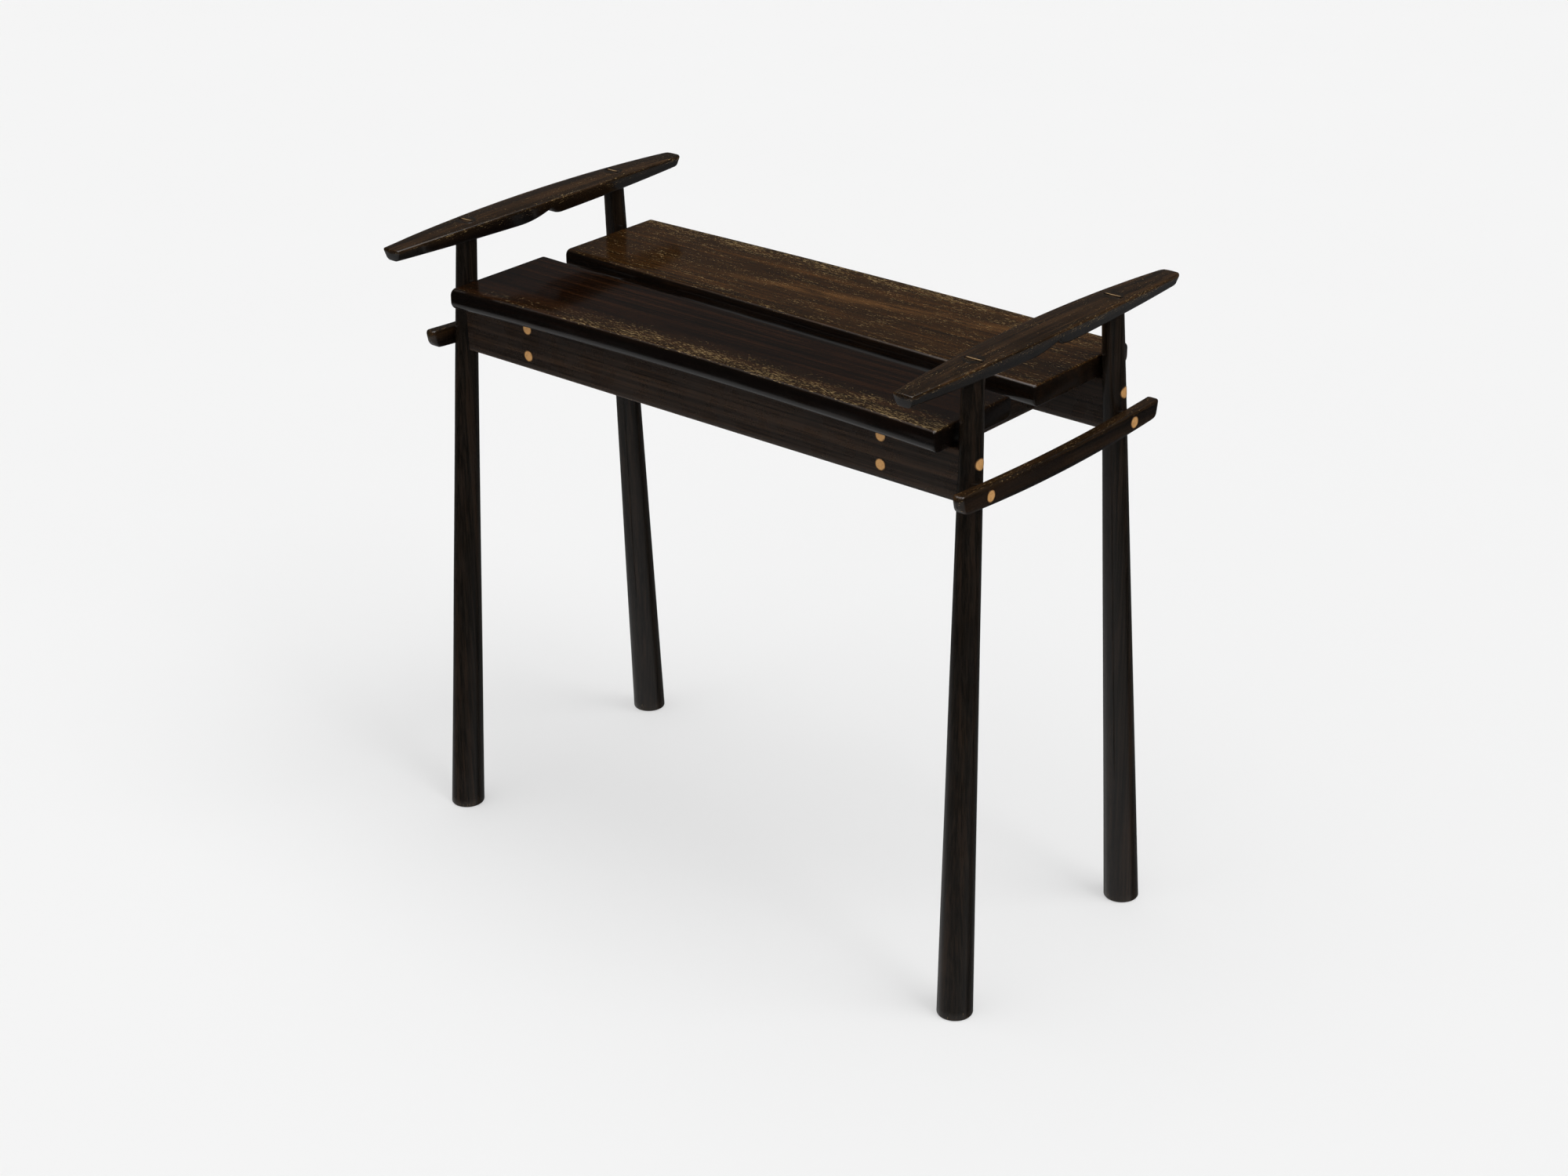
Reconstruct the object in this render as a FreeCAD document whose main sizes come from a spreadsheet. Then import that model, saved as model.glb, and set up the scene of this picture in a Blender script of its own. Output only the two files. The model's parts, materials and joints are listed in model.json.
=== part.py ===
import FreeCAD, Part
import math
import os
import Sketcher

# A four-legged wooden stool with a handrail across the leg tops at each end.
# Millimetres.  +X runs along the seat, +Y from front to back, +Z up.
# The origin is on the floor under the middle of the stool.

os.makedirs("parts", exist_ok=True)
doc = FreeCAD.newDocument("Stool")
sizes = doc.addObject("Spreadsheet::Sheet", "Sizes")

# Each row: name, value or formula, what it is.
ROWS = [
    # legs
    ("foot_x", "240", "leg centre on the floor, from the middle"),
    ("foot_y_left", "105", "left leg centres on the floor, from the middle"),
    ("foot_y_right", "101", "right leg centres on the floor, from the middle"),
    ("crown_x", "230.4", "leg centre at its top end"),
    ("crown_y", "76.8", "leg centre at its top end"),
    ("leg_height", "472.9", "floor to leg top"),
    ("foot_radius", "12.8", "leg radius just above the floor"),
    ("tip_radius", "7.5", "leg radius just below its top"),
    ("foot_round", "1.6", "softened edge under the foot"),
    ("tip_round", "0.5", "softened edge of the leg top"),
    ("lean_x", "=(foot_x - crown_x) / leg_height", "sideways lean per unit of height"),
    ("lean_y_left", "=(foot_y_left - crown_y) / leg_height", "front to back lean of the left legs"),
    ("lean_y_right", "=(foot_y_right - crown_y) / leg_height", "and of the right legs"),
    ("taper", "=(foot_radius - tip_radius) / leg_height", "radius lost per unit of height"),
    # seat planks
    ("seat_top", "428.6", "floor to seat"),
    ("plank_thickness", "16", "seat plank thickness"),
    ("seat_bottom", "=seat_top - plank_thickness", "underside of the planks"),
    ("seat_length", "443", "plank length"),
    ("front_hollow", "7", "how far the front edge curves in"),
    ("back_belly", "3.4", "how far the back edge curves out"),
    ("slot_front_left", "-5.5", "front plank's inner edge at its left end"),
    ("slot_front_right", "-20.8", "front plank's inner edge at its right end"),
    ("slot_back_left", "12.1", "back plank's inner edge at its left end"),
    ("slot_back_right", "0.1", "back plank's inner edge at its right end"),
    ("front_shift", "-1.4", "middle of the front plank"),
    ("back_shift", "1", "middle of the back plank"),
    ("plank_end_round", "1.2", "softened edges of the sawn plank ends"),
    ("plank_top_round", "4.8", "top edge radius of the planks"),
    ("plank_under_round", "6.2", "bottom edge radius of the planks"),
    ("front_plank_left", "=front_shift - seat_length / 2", "left end"),
    ("front_plank_right", "=front_shift + seat_length / 2", "right end"),
    ("back_plank_left", "=back_shift - seat_length / 2", "left end"),
    ("back_plank_right", "=back_shift + seat_length / 2", "right end"),
    ("front_edge_end", "-104.5", "front edge at the corners"),
    ("front_edge_middle", "=front_edge_end + front_hollow", "front edge at mid length"),
    ("back_edge_end", "109.5", "back edge at the corners"),
    ("back_edge_middle", "=back_edge_end + back_belly", "back edge at mid length"),
    # aprons
    ("apron_thickness", "12.6", "apron board thickness"),
    ("apron_face", "86.8", "outer face of an apron, from the middle"),
    ("apron_inner", "=apron_face - apron_thickness", "inner face of an apron"),
    ("apron_middle", "=apron_face - apron_thickness / 2", "mid plane of an apron"),
    ("apron_bottom", "376", "floor to the lower edge of the aprons"),
    ("apron_end", "228", "apron ends run into the hollow round the legs"),
    ("apron_end_left", "=-apron_end", "left end of an apron"),
    ("edge_round", "1.1", "softened edges of aprons and battens"),
    # battens under the planks
    ("batten_x", "162.8", "middle of a batten"),
    ("batten_thickness", "12.6", "batten board thickness"),
    ("batten_side", "=batten_thickness / 2", "half a batten's thickness"),
    # end stretchers
    ("stretcher_face", "248.8", "outboard face of a stretcher"),
    ("stretcher_thickness", "9.2", "stretcher thickness"),
    ("stretcher_half", "112", "middle to the tip of a stretcher"),
    ("stretcher_shift", "3", "the left stretcher sits this far to the back"),
    ("stretcher_top_middle", "389.6", "top edge at mid length"),
    ("stretcher_top_end", "393", "top edge at the tips"),
    ("stretcher_under_middle", "374.8", "underside at mid length"),
    ("stretcher_under_end", "379.4", "underside at the tips"),
    ("stretcher_under_y", "=stretcher_half - 3", "the tips slope in towards the underside"),
    ("nose_round", "4.5", "rounded lower corner of the tips"),
    ("stretcher_round", "1.7", "softened stretcher edges"),
    # handrails, heights below are measured down from the crown line
    ("rail_x_left", "-230", "middle of the left handrail"),
    ("rail_x_right", "229", "middle of the right handrail"),
    ("rail_crown", "473.5", "floor to the top of a handrail at mid length"),
    ("rail_half", "151", "middle to the end of a handrail blank"),
    ("rail_shift", "2", "the left handrail sits this far forward, the right one back"),
    ("rail_over", "=rail_half + 4", "cutting outlines run past the ends by this much"),
    ("rail_blank", "18", "depth of the handrail blank"),
    ("rail_wide", "15.5", "half width at mid length"),
    ("rail_narrow", "9.6", "half width at the ends"),
    ("rail_draft", "20", "inward slope of the sides, in degrees"),
    ("rail_wide_minus", "=-rail_wide", "the other side"),
    ("rail_narrow_minus", "=-rail_narrow", "the other side"),
    ("crown_radius", "90", "how round the top is from side to side"),
    ("crown_drop", "3.7", "how far the crown falls towards the ends"),
    ("crown_end", "=crown_radius - crown_drop", "crown at the ends, from its centre line"),
    ("crown_clear", "=crown_radius + 8", "outside of the crown cut"),
    ("under_end", "-12.4", "underside at the ends"),
    ("under_via", "-14", "underside part way along"),
    ("under_via_y", "=rail_half * 0.6", "where that is"),
    ("under_lobe", "-15.4", "lowest part of the underside"),
    ("notch_rise", "6", "height of the notch in the underside"),
    ("notch_peak", "=under_lobe + notch_rise", "top of the notch"),
    ("long_y", "28", "length of the notch's front curve"),
    ("long_radius", "=(long_y^2 + notch_rise^2) / 2 / notch_rise", "its radius"),
    ("long_via_y", "=long_y / 2", "a point on it"),
    ("long_via", "=under_lobe + long_radius - sqrt(long_radius^2 - long_via_y^2)",
     "a point on it"),
    ("short_y", "14", "length of the notch's back curve"),
    ("short_radius", "=(short_y^2 + notch_rise^2) / 2 / notch_rise", "its radius"),
    ("short_via_y", "=short_y / 2", "a point on it"),
    ("short_via", "=under_lobe + short_radius - sqrt(short_radius^2 - short_via_y^2)",
     "a point on it"),
    ("under_clear", "-30", "bottom of the underside cut"),
    # pegs, wedges and dowels
    ("peg_radius", "4.4", "all visible pegs"),
    ("peg_proud", "0.25", "peg heads stand out by this much"),
    ("apron_peg_low", "386", "height of the lower apron pegs"),
    ("apron_peg_high", "406.5", "height of the upper apron pegs"),
    ("apron_peg_length", "38", "apron peg length"),
    ("end_peg_y", "80.9", "pegs into the apron ends, from the middle"),
    ("stretcher_peg_z", "384.5", "height of the pegs through the stretchers"),
    ("leg_peg_z", "404.1", "height of the pegs through the legs"),
    ("end_peg_depth", "200", "inner end of the pegs into the aprons"),
    ("wedge_depth", "12", "depth of a wedge in the leg top"),
    ("wedge_top", "0.75", "half thickness of a wedge at the top"),
    ("wedge_tip", "0.15", "half thickness of a wedge at its tip"),
    ("dowel_radius", "3", "hidden seat dowels"),
    ("dowel_down", "12", "dowel depth in an apron or batten"),
    ("dowel_up", "10", "dowel depth in a plank"),
    ("dowel_x", "85", "seat dowels in the aprons, from the middle"),
    ("dowel_y", "40", "seat dowels in the battens, from the middle"),
]
for number, (name, value, note) in enumerate(ROWS, start=1):
    sizes.set("A%d" % number, name)
    sizes.set("B%d" % number, value)
    sizes.setAlias("B%d" % number, name)
    sizes.set("C%d" % number, note)
doc.recompute()

finished = []


def size(name):
    """The value of one named size; a leading minus turns it round."""
    if name.startswith("-"):
        return -size(name[1:])
    if name == "0":
        return 0.0
    value = sizes.get(name)
    return float(getattr(value, "Value", value))


def bound(name):
    """The same size written for setExpression."""
    return "-Sizes." + name[1:] if name.startswith("-") else "Sizes." + name


def bind(obj, **expressions):
    """Tie properties to the sheet; x, y and z are the placement's own."""
    for key, text in expressions.items():
        path = "Placement.Base." + key if key in ("x", "y", "z") else key
        obj.setExpression(path, text)


def finish(obj, label):
    """Mark an object as one of the stool's separate pieces."""
    obj.Label = label
    finished.append(obj)
    return obj


def primitive(kind, name, **expressions):
    obj = doc.addObject(kind, name)
    bind(obj, **expressions)
    return obj


def turned(obj, axis, degrees):
    obj.Placement.Rotation = FreeCAD.Rotation(axis, degrees)
    return obj


def cut(base, tools, name):
    """Base with every tool taken out of it."""
    gathered = doc.addObject("Part::Compound", name + "_tools")
    gathered.Links = tools
    result = doc.addObject("Part::Cut", name)
    result.Base = base
    result.Tool = gathered
    return result


AXIS_X = FreeCAD.Vector(1, 0, 0)
AXIS_Y = FreeCAD.Vector(0, 1, 0)
AXIS_Z = FreeCAD.Vector(0, 0, 1)

# ---------------------------------------------------------------- sketches

def pin(sketch, geometry, end, x, y):
    """Fix a sketch point at two named sizes."""
    for kind, name, axis in (("DistanceX", x, -2), ("DistanceY", y, -1)):
        if name == "0":
            sketch.addConstraint(Sketcher.Constraint("PointOnObject", geometry, end, axis))
            continue
        made = sketch.addConstraint(
            Sketcher.Constraint(kind, -1, 1, geometry, end, size(name)))
        sketch.setExpression("Constraints[%d]" % made, bound(name))


def draw(sketch, corners):
    """A closed outline.  A corner is (x, y) when a straight side follows it,
    or (x, y, via_x, via_y) when an arc through the via point follows it."""
    spots = [FreeCAD.Vector(size(c[0]), size(c[1]), 0) for c in corners]
    ids = []
    for number, corner in enumerate(corners):
        start = spots[number]
        end = spots[(number + 1) % len(spots)]
        if len(corner) == 2:
            ids.append((sketch.addGeometry(Part.LineSegment(start, end)), 1, 2))
            continue
        via = FreeCAD.Vector(size(corner[2]), size(corner[3]), 0)
        middle = Part.Circle(start, via, end).Center
        circle = Part.Circle(middle, AXIS_Z, middle.distanceToPoint(start))
        # The arc is stored anticlockwise, whichever way the outline runs.
        forward = (via - start).cross(end - via).z > 0
        first, last = (start, end) if forward else (end, start)
        angles = [math.atan2(p.y - middle.y, p.x - middle.x) for p in (first, last)]
        if angles[1] < angles[0]:
            angles[1] += 2 * math.pi
        made = sketch.addGeometry(Part.ArcOfCircle(circle, angles[0], angles[1]))
        ids.append((made, 1, 2) if forward else (made, 2, 1))
    for number, (made, start, end) in enumerate(ids):
        following = ids[(number + 1) % len(ids)]
        sketch.addConstraint(
            Sketcher.Constraint("Coincident", made, end, following[0], following[1]))
    for (made, start, end), corner in zip(ids, corners):
        pin(sketch, made, start, corner[0], corner[1])
        if len(corner) == 4:
            via = FreeCAD.Vector(size(corner[2]), size(corner[3]), 0)
            dot = sketch.addGeometry(Part.Point(via), True)
            pin(sketch, dot, 1, corner[2], corner[3])
            sketch.addConstraint(Sketcher.Constraint("PointOnObject", dot, 1, made))


def body_sketch(body, role, corners, offset=None):
    """A sketch on one of the body's own planes."""
    sketch = body.newObject("Sketcher::SketchObject", body.Name + "_outline")
    plane = [f for f in body.Origin.OriginFeatures if f.Role == role][0]
    sketch.AttachmentSupport = [(plane, "")]
    sketch.MapMode = "FlatFace"
    if offset is not None:
        sketch.AttachmentOffset = FreeCAD.Placement(offset, FreeCAD.Rotation())
    draw(sketch, corners)
    return sketch


def feature(body, kind, profile, **expressions):
    made = body.newObject("PartDesign::" + kind, body.Name + "_" + kind.lower())
    made.Profile = profile
    profile.Visibility = False
    bind(made, **expressions)
    doc.recompute()
    return made


def edges(shape, wanted):
    """Names of the edges a test picks out."""
    return ["Edge%d" % n for n, e in enumerate(shape.Edges, start=1) if wanted(e)]


def rounded(body, wanted, radius):
    """A fillet on the picked edges of the body's last feature."""
    doc.recompute()
    last = body.Tip
    made = body.newObject("PartDesign::Fillet", body.Name + "_round")
    made.Base = (last, edges(last.Shape, wanted))
    made.setExpression("Radius", "Sizes." + radius)
    doc.recompute()
    return made


def level(edge, z):
    """Whether an edge lies flat at this height."""
    box = edge.BoundBox
    return abs(box.ZMin - z) < 1e-4 and abs(box.ZMax - z) < 1e-4


def across(edge):
    """Whether an edge runs straight along X."""
    box = edge.BoundBox
    return box.XLength > 1 and box.YLength < 1e-4 and box.ZLength < 1e-4


def square(edge):
    """Whether an edge lies in a plane square to X."""
    return edge.BoundBox.XLength < 1e-4


# ---------------------------------------------------------------- legs

CORNERS = [
    ("front_left", -1, -1),
    ("front_right", 1, -1),
    ("back_left", -1, 1),
    ("back_right", 1, 1),
]


def leg_blank(name, side, depth, grown="0"):
    """A leaning tapered leg, skinned over level circles so the foot is flat."""
    sections = [
        ("0", "Sizes.foot_radius - Sizes.foot_round"),
        ("0.3 * Sizes.foot_round", "Sizes.foot_radius - 0.3 * Sizes.foot_round"),
        ("Sizes.foot_round", "Sizes.foot_radius - Sizes.taper * Sizes.foot_round"),
        ("Sizes.leg_height - Sizes.tip_round", "Sizes.tip_radius"),
        ("Sizes.leg_height", "Sizes.tip_radius - Sizes.tip_round"),
    ]
    hand = "left" if side < 0 else "right"
    circles = []
    for number, (height, radius) in enumerate(sections):
        ring = primitive(
            "Part::Circle", "%s_ring_%d" % (name, number),
            Radius="%s + %s" % (radius, grown),
            x="%d * (Sizes.foot_x - Sizes.lean_x * (%s))" % (side, height),
            y="%d * (Sizes.foot_y_%s - Sizes.lean_y_%s * (%s))" % (depth, hand, hand, height),
            z=height)
        circles.append(turned(ring, AXIS_Z, 90 * depth))
    blank = doc.addObject("Part::Loft", name)
    blank.Sections = circles
    blank.Solid = True
    blank.Ruled = True
    return blank


blanks = {}
for corner, side, depth in CORNERS:
    blanks[corner] = leg_blank("leg_blank_" + corner, side, depth)

# ---------------------------------------------------------------- pegs

leg_pegs = {}
stretcher_pegs = {}
for corner, side, depth in CORNERS:
    # A cylinder lying along X, from outboard of the leg into the apron end.
    rod = primitive(
        "Part::Cylinder", "leg_peg_rod_" + corner,
        Radius="Sizes.peg_radius",
        Height="Sizes.stretcher_face - Sizes.end_peg_depth",
        x="%d * Sizes.end_peg_depth" % side,
        y="%d * Sizes.end_peg_y" % depth,
        z="Sizes.leg_peg_z")
    turned(rod, AXIS_Y, 90 * side)
    # Its head is trimmed to the round of the leg, a touch proud.
    skin = leg_blank("leg_skin_" + corner, side, depth, "Sizes.peg_proud")
    outside = primitive(
        "Part::Box", "leg_outside_" + corner,
        Length="4 * Sizes.foot_radius", Width="4 * Sizes.foot_radius",
        Height="4 * Sizes.foot_radius",
        x=("Sizes.crown_x" if side > 0 else "-Sizes.crown_x - 4 * Sizes.foot_radius"),
        y="%d * Sizes.end_peg_y - 2 * Sizes.foot_radius" % depth,
        z="Sizes.leg_peg_z - 2 * Sizes.foot_radius")
    waste = cut(outside, [skin], "leg_peg_waste_" + corner)
    leg_pegs[corner] = finish(cut(rod, [waste], "leg_peg_" + corner), "leg_peg_" + corner)

    rod = primitive(
        "Part::Cylinder", "stretcher_peg_" + corner,
        Radius="Sizes.peg_radius",
        Height="Sizes.stretcher_face + Sizes.peg_proud - Sizes.end_peg_depth",
        x="%d * Sizes.end_peg_depth" % side,
        y="%d * Sizes.end_peg_y" % depth,
        z="Sizes.stretcher_peg_z")
    turned(rod, AXIS_Y, 90 * side)
    stretcher_pegs[corner] = finish(rod, "stretcher_peg_" + corner)

SIDES = [("left", -1), ("right", 1)]
DEPTHS = [("front", -1), ("back", 1)]

apron_pegs = {}
for row, depth in DEPTHS:
    for hand, side in SIDES:
        for place in ("low", "high"):
            name = "apron_peg_%s_%s_%s" % (row, hand, place)
            rod = primitive(
                "Part::Cylinder", name,
                Radius="Sizes.peg_radius", Height="Sizes.apron_peg_length",
                x="%d * Sizes.batten_x" % side,
                y="%d * (Sizes.apron_face + Sizes.peg_proud)" % depth,
                z="Sizes.apron_peg_" + place)
            turned(rod, AXIS_X, 90 * depth)
            apron_pegs[(row, hand, place)] = finish(rod, name)

# ---------------------------------------------------------------- dowels

apron_dowels = {}
batten_dowels = {}
for row, depth in DEPTHS:
    for hand, side in SIDES:
        for table, kind, x, y in (
                (apron_dowels, "apron", "dowel_x", "apron_middle"),
                (batten_dowels, "batten", "batten_x", "dowel_y")):
            name = "seat_dowel_%s_%s_%s" % (kind, row, hand)
            pin_rod = primitive(
                "Part::Cylinder", name,
                Radius="Sizes.dowel_radius", Height="Sizes.dowel_down + Sizes.dowel_up",
                x="%d * Sizes.%s" % (side, x),
                y="%d * Sizes.%s" % (depth, y),
                z="Sizes.seat_bottom - Sizes.dowel_down")
            table[(row, hand)] = finish(pin_rod, name)

# ---------------------------------------------------------------- wedges and legs

for corner, side, depth in CORNERS:
    # A thin wedge across the leg top, its length along X.
    slip = primitive(
        "Part::Wedge", "wedge_blank_" + corner,
        Xmin="-2 * Sizes.tip_radius", Xmax="2 * Sizes.tip_radius",
        X2min="-2 * Sizes.tip_radius", X2max="2 * Sizes.tip_radius",
        Ymin="0", Ymax="Sizes.wedge_depth",
        Zmin="-Sizes.wedge_tip", Zmax="Sizes.wedge_tip",
        Z2min="-Sizes.wedge_top", Z2max="Sizes.wedge_top",
        x="%d * Sizes.crown_x" % side,
        y="%d * Sizes.crown_y" % depth,
        z="Sizes.leg_height - Sizes.wedge_depth")
    turned(slip, AXIS_X, 90)
    wedge = doc.addObject("Part::Common", "leg_wedge_" + corner)
    wedge.Base = slip
    wedge.Tool = blanks[corner]
    finish(wedge, "leg_wedge_" + corner)
    leg = cut(blanks[corner], [wedge, leg_pegs[corner], stretcher_pegs[corner]],
              "leg_" + corner)
    finish(leg, "leg_" + corner)

# ---------------------------------------------------------------- seat planks


def plank(row, corners):
    body = doc.addObject("PartDesign::Body", "plank_body_" + row)
    bind(body, z="Sizes.seat_bottom")
    outline = body_sketch(body, "XY_Plane", corners)
    feature(body, "Pad", outline, Length="Sizes.plank_thickness")
    thick = size("plank_thickness")
    rounded(body, lambda e: level(e, thick) and not square(e), "plank_top_round")
    rounded(body, lambda e: level(e, 0) and not square(e), "plank_under_round")
    rounded(body, square, "plank_end_round")
    pins = [table[(row, hand)] for table in (apron_dowels, batten_dowels)
            for hand, side in SIDES]
    return finish(cut(body, pins, "seat_plank_" + row), "seat_plank_" + row)


plank("front", [
    ("front_plank_left", "front_edge_end", "0", "front_edge_middle"),
    ("front_plank_right", "front_edge_end"),
    ("front_plank_right", "slot_front_right"),
    ("front_plank_left", "slot_front_left"),
])
plank("back", [
    ("back_plank_left", "slot_back_left"),
    ("back_plank_right", "slot_back_right"),
    ("back_plank_right", "back_edge_end", "0", "back_edge_middle"),
    ("back_plank_left", "back_edge_end"),
])

# ---------------------------------------------------------------- aprons

for row, depth in DEPTHS:
    body = doc.addObject("PartDesign::Body", "apron_body_" + row)
    bind(body, y="-Sizes.apron_inner" if depth < 0 else "Sizes.apron_face")
    outline = body_sketch(body, "XZ_Plane", [
        ("apron_end_left", "apron_bottom"),
        ("apron_end", "apron_bottom"),
        ("apron_end", "seat_bottom"),
        ("apron_end_left", "seat_bottom"),
    ])
    feature(body, "Pad", outline, Length="Sizes.apron_thickness")
    bottom = size("apron_bottom")
    rounded(body, lambda e: level(e, bottom) and e.Length > 50, "edge_round")
    tools = []
    for hand, side in SIDES:
        corner = row + "_" + hand
        tools += [blanks[corner], leg_pegs[corner], stretcher_pegs[corner]]
        tools += [apron_pegs[(row, hand, place)] for place in ("low", "high")]
        tools.append(apron_dowels[(row, hand)])
    finish(cut(body, tools, "apron_" + row), "apron_" + row)

# ---------------------------------------------------------------- battens

for hand, side in SIDES:
    body = doc.addObject("PartDesign::Body", "batten_body_" + hand)
    bind(body, x="%d * Sizes.batten_x - Sizes.batten_side" % side)
    outline = body_sketch(body, "YZ_Plane", [
        ("-apron_inner", "apron_bottom"),
        ("apron_inner", "apron_bottom"),
        ("apron_inner", "seat_bottom"),
        ("-apron_inner", "seat_bottom"),
    ])
    feature(body, "Pad", outline, Length="Sizes.batten_thickness")
    bottom = size("apron_bottom")
    rounded(body, lambda e: level(e, bottom) and e.Length > 50, "edge_round")
    tools = []
    for row, depth in DEPTHS:
        tools += [apron_pegs[(row, hand, place)] for place in ("low", "high")]
        tools.append(batten_dowels[(row, hand)])
    finish(cut(body, tools, "batten_" + hand), "batten_" + hand)

# ---------------------------------------------------------------- end stretchers

for hand, side in SIDES:
    body = doc.addObject("PartDesign::Body", "stretcher_body_" + hand)
    if side > 0:
        bind(body, x="Sizes.stretcher_face - Sizes.stretcher_thickness")
    else:
        bind(body, x="-Sizes.stretcher_face", y="Sizes.stretcher_shift")
    outline = body_sketch(body, "YZ_Plane", [
        ("-stretcher_half", "stretcher_top_end", "0", "stretcher_top_middle"),
        ("stretcher_half", "stretcher_top_end"),
        ("stretcher_under_y", "stretcher_under_end", "0", "stretcher_under_middle"),
        ("-stretcher_under_y", "stretcher_under_end"),
    ])
    feature(body, "Pad", outline, Length="Sizes.stretcher_thickness")
    nose = size("stretcher_under_end")
    rounded(body, lambda e: across(e) and e.BoundBox.ZMax < nose + 1, "nose_round")
    rounded(body, lambda e: across(e) and e.BoundBox.ZMax > nose + 1, "stretcher_round")
    rounded(body, square, "stretcher_round")
    tools = []
    for row, depth in DEPTHS:
        tools += [blanks[row + "_" + hand], stretcher_pegs[row + "_" + hand]]
    finish(cut(body, tools, "stretcher_" + hand), "stretcher_" + hand)

# ---------------------------------------------------------------- handrails

for hand, side in SIDES:
    body = doc.addObject("PartDesign::Body", "rail_body_" + hand)
    bind(body, x="Sizes.rail_x_" + hand, y="%d * Sizes.rail_shift" % side,
         z="Sizes.rail_crown")
    # A spindle in plan, its sides sloping in towards the underside.
    plan = body_sketch(body, "XY_Plane", [
        ("rail_narrow_minus", "-rail_half"),
        ("rail_narrow", "-rail_half", "rail_wide", "0"),
        ("rail_narrow", "rail_half"),
        ("rail_narrow_minus", "rail_half", "rail_wide_minus", "0"),
    ])
    blank = feature(body, "Pad", plan, Length="Sizes.rail_blank",
                    TaperAngle="-Sizes.rail_draft")
    blank.Reversed = True
    doc.recompute()
    # The arched underside, with a brace-shaped notch in the middle.
    under = body_sketch(body, "YZ_Plane", [
        ("-rail_over", "under_end", "-under_via_y", "under_via"),
        ("-long_y", "under_lobe", "-long_via_y", "long_via"),
        ("0", "notch_peak", "short_via_y", "short_via"),
        ("short_y", "under_lobe", "under_via_y", "under_via"),
        ("rail_over", "under_end"),
        ("rail_over", "under_clear"),
        ("-rail_over", "under_clear"),
    ])
    hollow = feature(body, "Pocket", under)
    hollow.Type = "ThroughAll"
    hollow.Midplane = True
    doc.recompute()
    # The crown: everything outside a long shallow barrel is turned away.
    crown = body_sketch(body, "YZ_Plane", [
        ("-rail_over", "crown_end", "0", "crown_radius"),
        ("rail_over", "crown_end"),
        ("rail_over", "crown_clear"),
        ("-rail_over", "crown_clear"),
    ], FreeCAD.Vector(0, -size("crown_radius"), 0))
    crown.setExpression("AttachmentOffset.Base.y", "-Sizes.crown_radius")
    turning = feature(body, "Groove", crown)
    turning.ReferenceAxis = (crown, ["H_Axis"])
    turning.Angle = 360
    doc.recompute()
    tools = [blanks[row + "_" + hand] for row, depth in DEPTHS]
    finish(cut(body, tools, "handrail_" + hand), "handrail_" + hand)

# ---------------------------------------------------------------- check and write

doc.recompute()
troubles = []
for obj in doc.Objects:
    if "Invalid" in obj.State or "Error" in obj.State:
        troubles.append("%s: %s" % (obj.Name, obj.getStatusString()))
    shape = getattr(obj, "Shape", None)
    if shape is not None and obj.isDerivedFrom("Part::Feature"):
        if shape.isNull() or not shape.isValid():
            troubles.append("%s has a bad shape" % obj.Name)
for obj in finished:
    if len(obj.Shape.Solids) != 1:
        troubles.append("%s has %d solids" % (obj.Label, len(obj.Shape.Solids)))
if troubles:
    raise RuntimeError("; ".join(troubles))

for obj in finished:
    obj.Shape.exportStep("parts/%s.step" % obj.Label)
whole = Part.makeCompound([obj.Shape for obj in finished])
print("pieces", len(finished))
print("box", whole.BoundBox)
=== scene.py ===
import json
import math

import bpy
from mathutils import Matrix, Vector, noise

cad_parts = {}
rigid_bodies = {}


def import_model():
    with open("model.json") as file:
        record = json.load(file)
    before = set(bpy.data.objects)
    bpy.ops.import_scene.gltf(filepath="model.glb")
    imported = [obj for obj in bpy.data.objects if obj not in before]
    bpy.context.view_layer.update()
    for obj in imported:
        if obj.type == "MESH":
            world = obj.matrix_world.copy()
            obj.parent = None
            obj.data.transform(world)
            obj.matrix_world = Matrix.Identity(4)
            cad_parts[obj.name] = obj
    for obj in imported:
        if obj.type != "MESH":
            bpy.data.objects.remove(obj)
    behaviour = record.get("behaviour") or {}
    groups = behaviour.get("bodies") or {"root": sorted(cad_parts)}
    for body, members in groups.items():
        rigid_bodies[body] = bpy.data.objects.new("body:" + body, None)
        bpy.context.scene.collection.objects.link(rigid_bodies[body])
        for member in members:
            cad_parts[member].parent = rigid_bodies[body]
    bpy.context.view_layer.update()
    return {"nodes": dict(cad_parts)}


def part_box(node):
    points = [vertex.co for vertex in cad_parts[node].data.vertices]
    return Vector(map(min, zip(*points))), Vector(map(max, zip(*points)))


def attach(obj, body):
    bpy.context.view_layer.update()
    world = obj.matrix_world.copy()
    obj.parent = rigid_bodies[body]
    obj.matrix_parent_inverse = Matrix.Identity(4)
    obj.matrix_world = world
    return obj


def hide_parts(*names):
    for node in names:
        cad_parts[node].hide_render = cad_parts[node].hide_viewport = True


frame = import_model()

# The stool's look: every visible board, leg and rail is rebuilt as a finely
# divided loft in the place of its CAD node, and lacquered.  Lengths inside the
# shape functions are millimetres, turned into metres as the mesh is made.

MM = 0.001
SMALLEST_RADIUS = 0.02
SHARP_ANGLE = math.radians(40)
scene = bpy.context.scene


# ---------------------------------------------------------------- meshes

def smooth(low, high, value):
    """An eased step from 0 at low to 1 at high; low may be the larger number."""
    t = max(0.0, min(1.0, (value - low) / (high - low)))
    return t * t * (3 - 2 * t)


def bow(t, half, middle, end):
    """A shallow arch: middle at 0 and end at plus or minus half."""
    return middle + (end - middle) * (t / half) ** 2


def rounding(distance, radius):
    """How far a rounded corner has fallen back, this close to its edge."""
    if distance >= radius:
        return 0.0
    return radius - math.sqrt(max(0.0, radius ** 2 - (radius - distance) ** 2))


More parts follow.
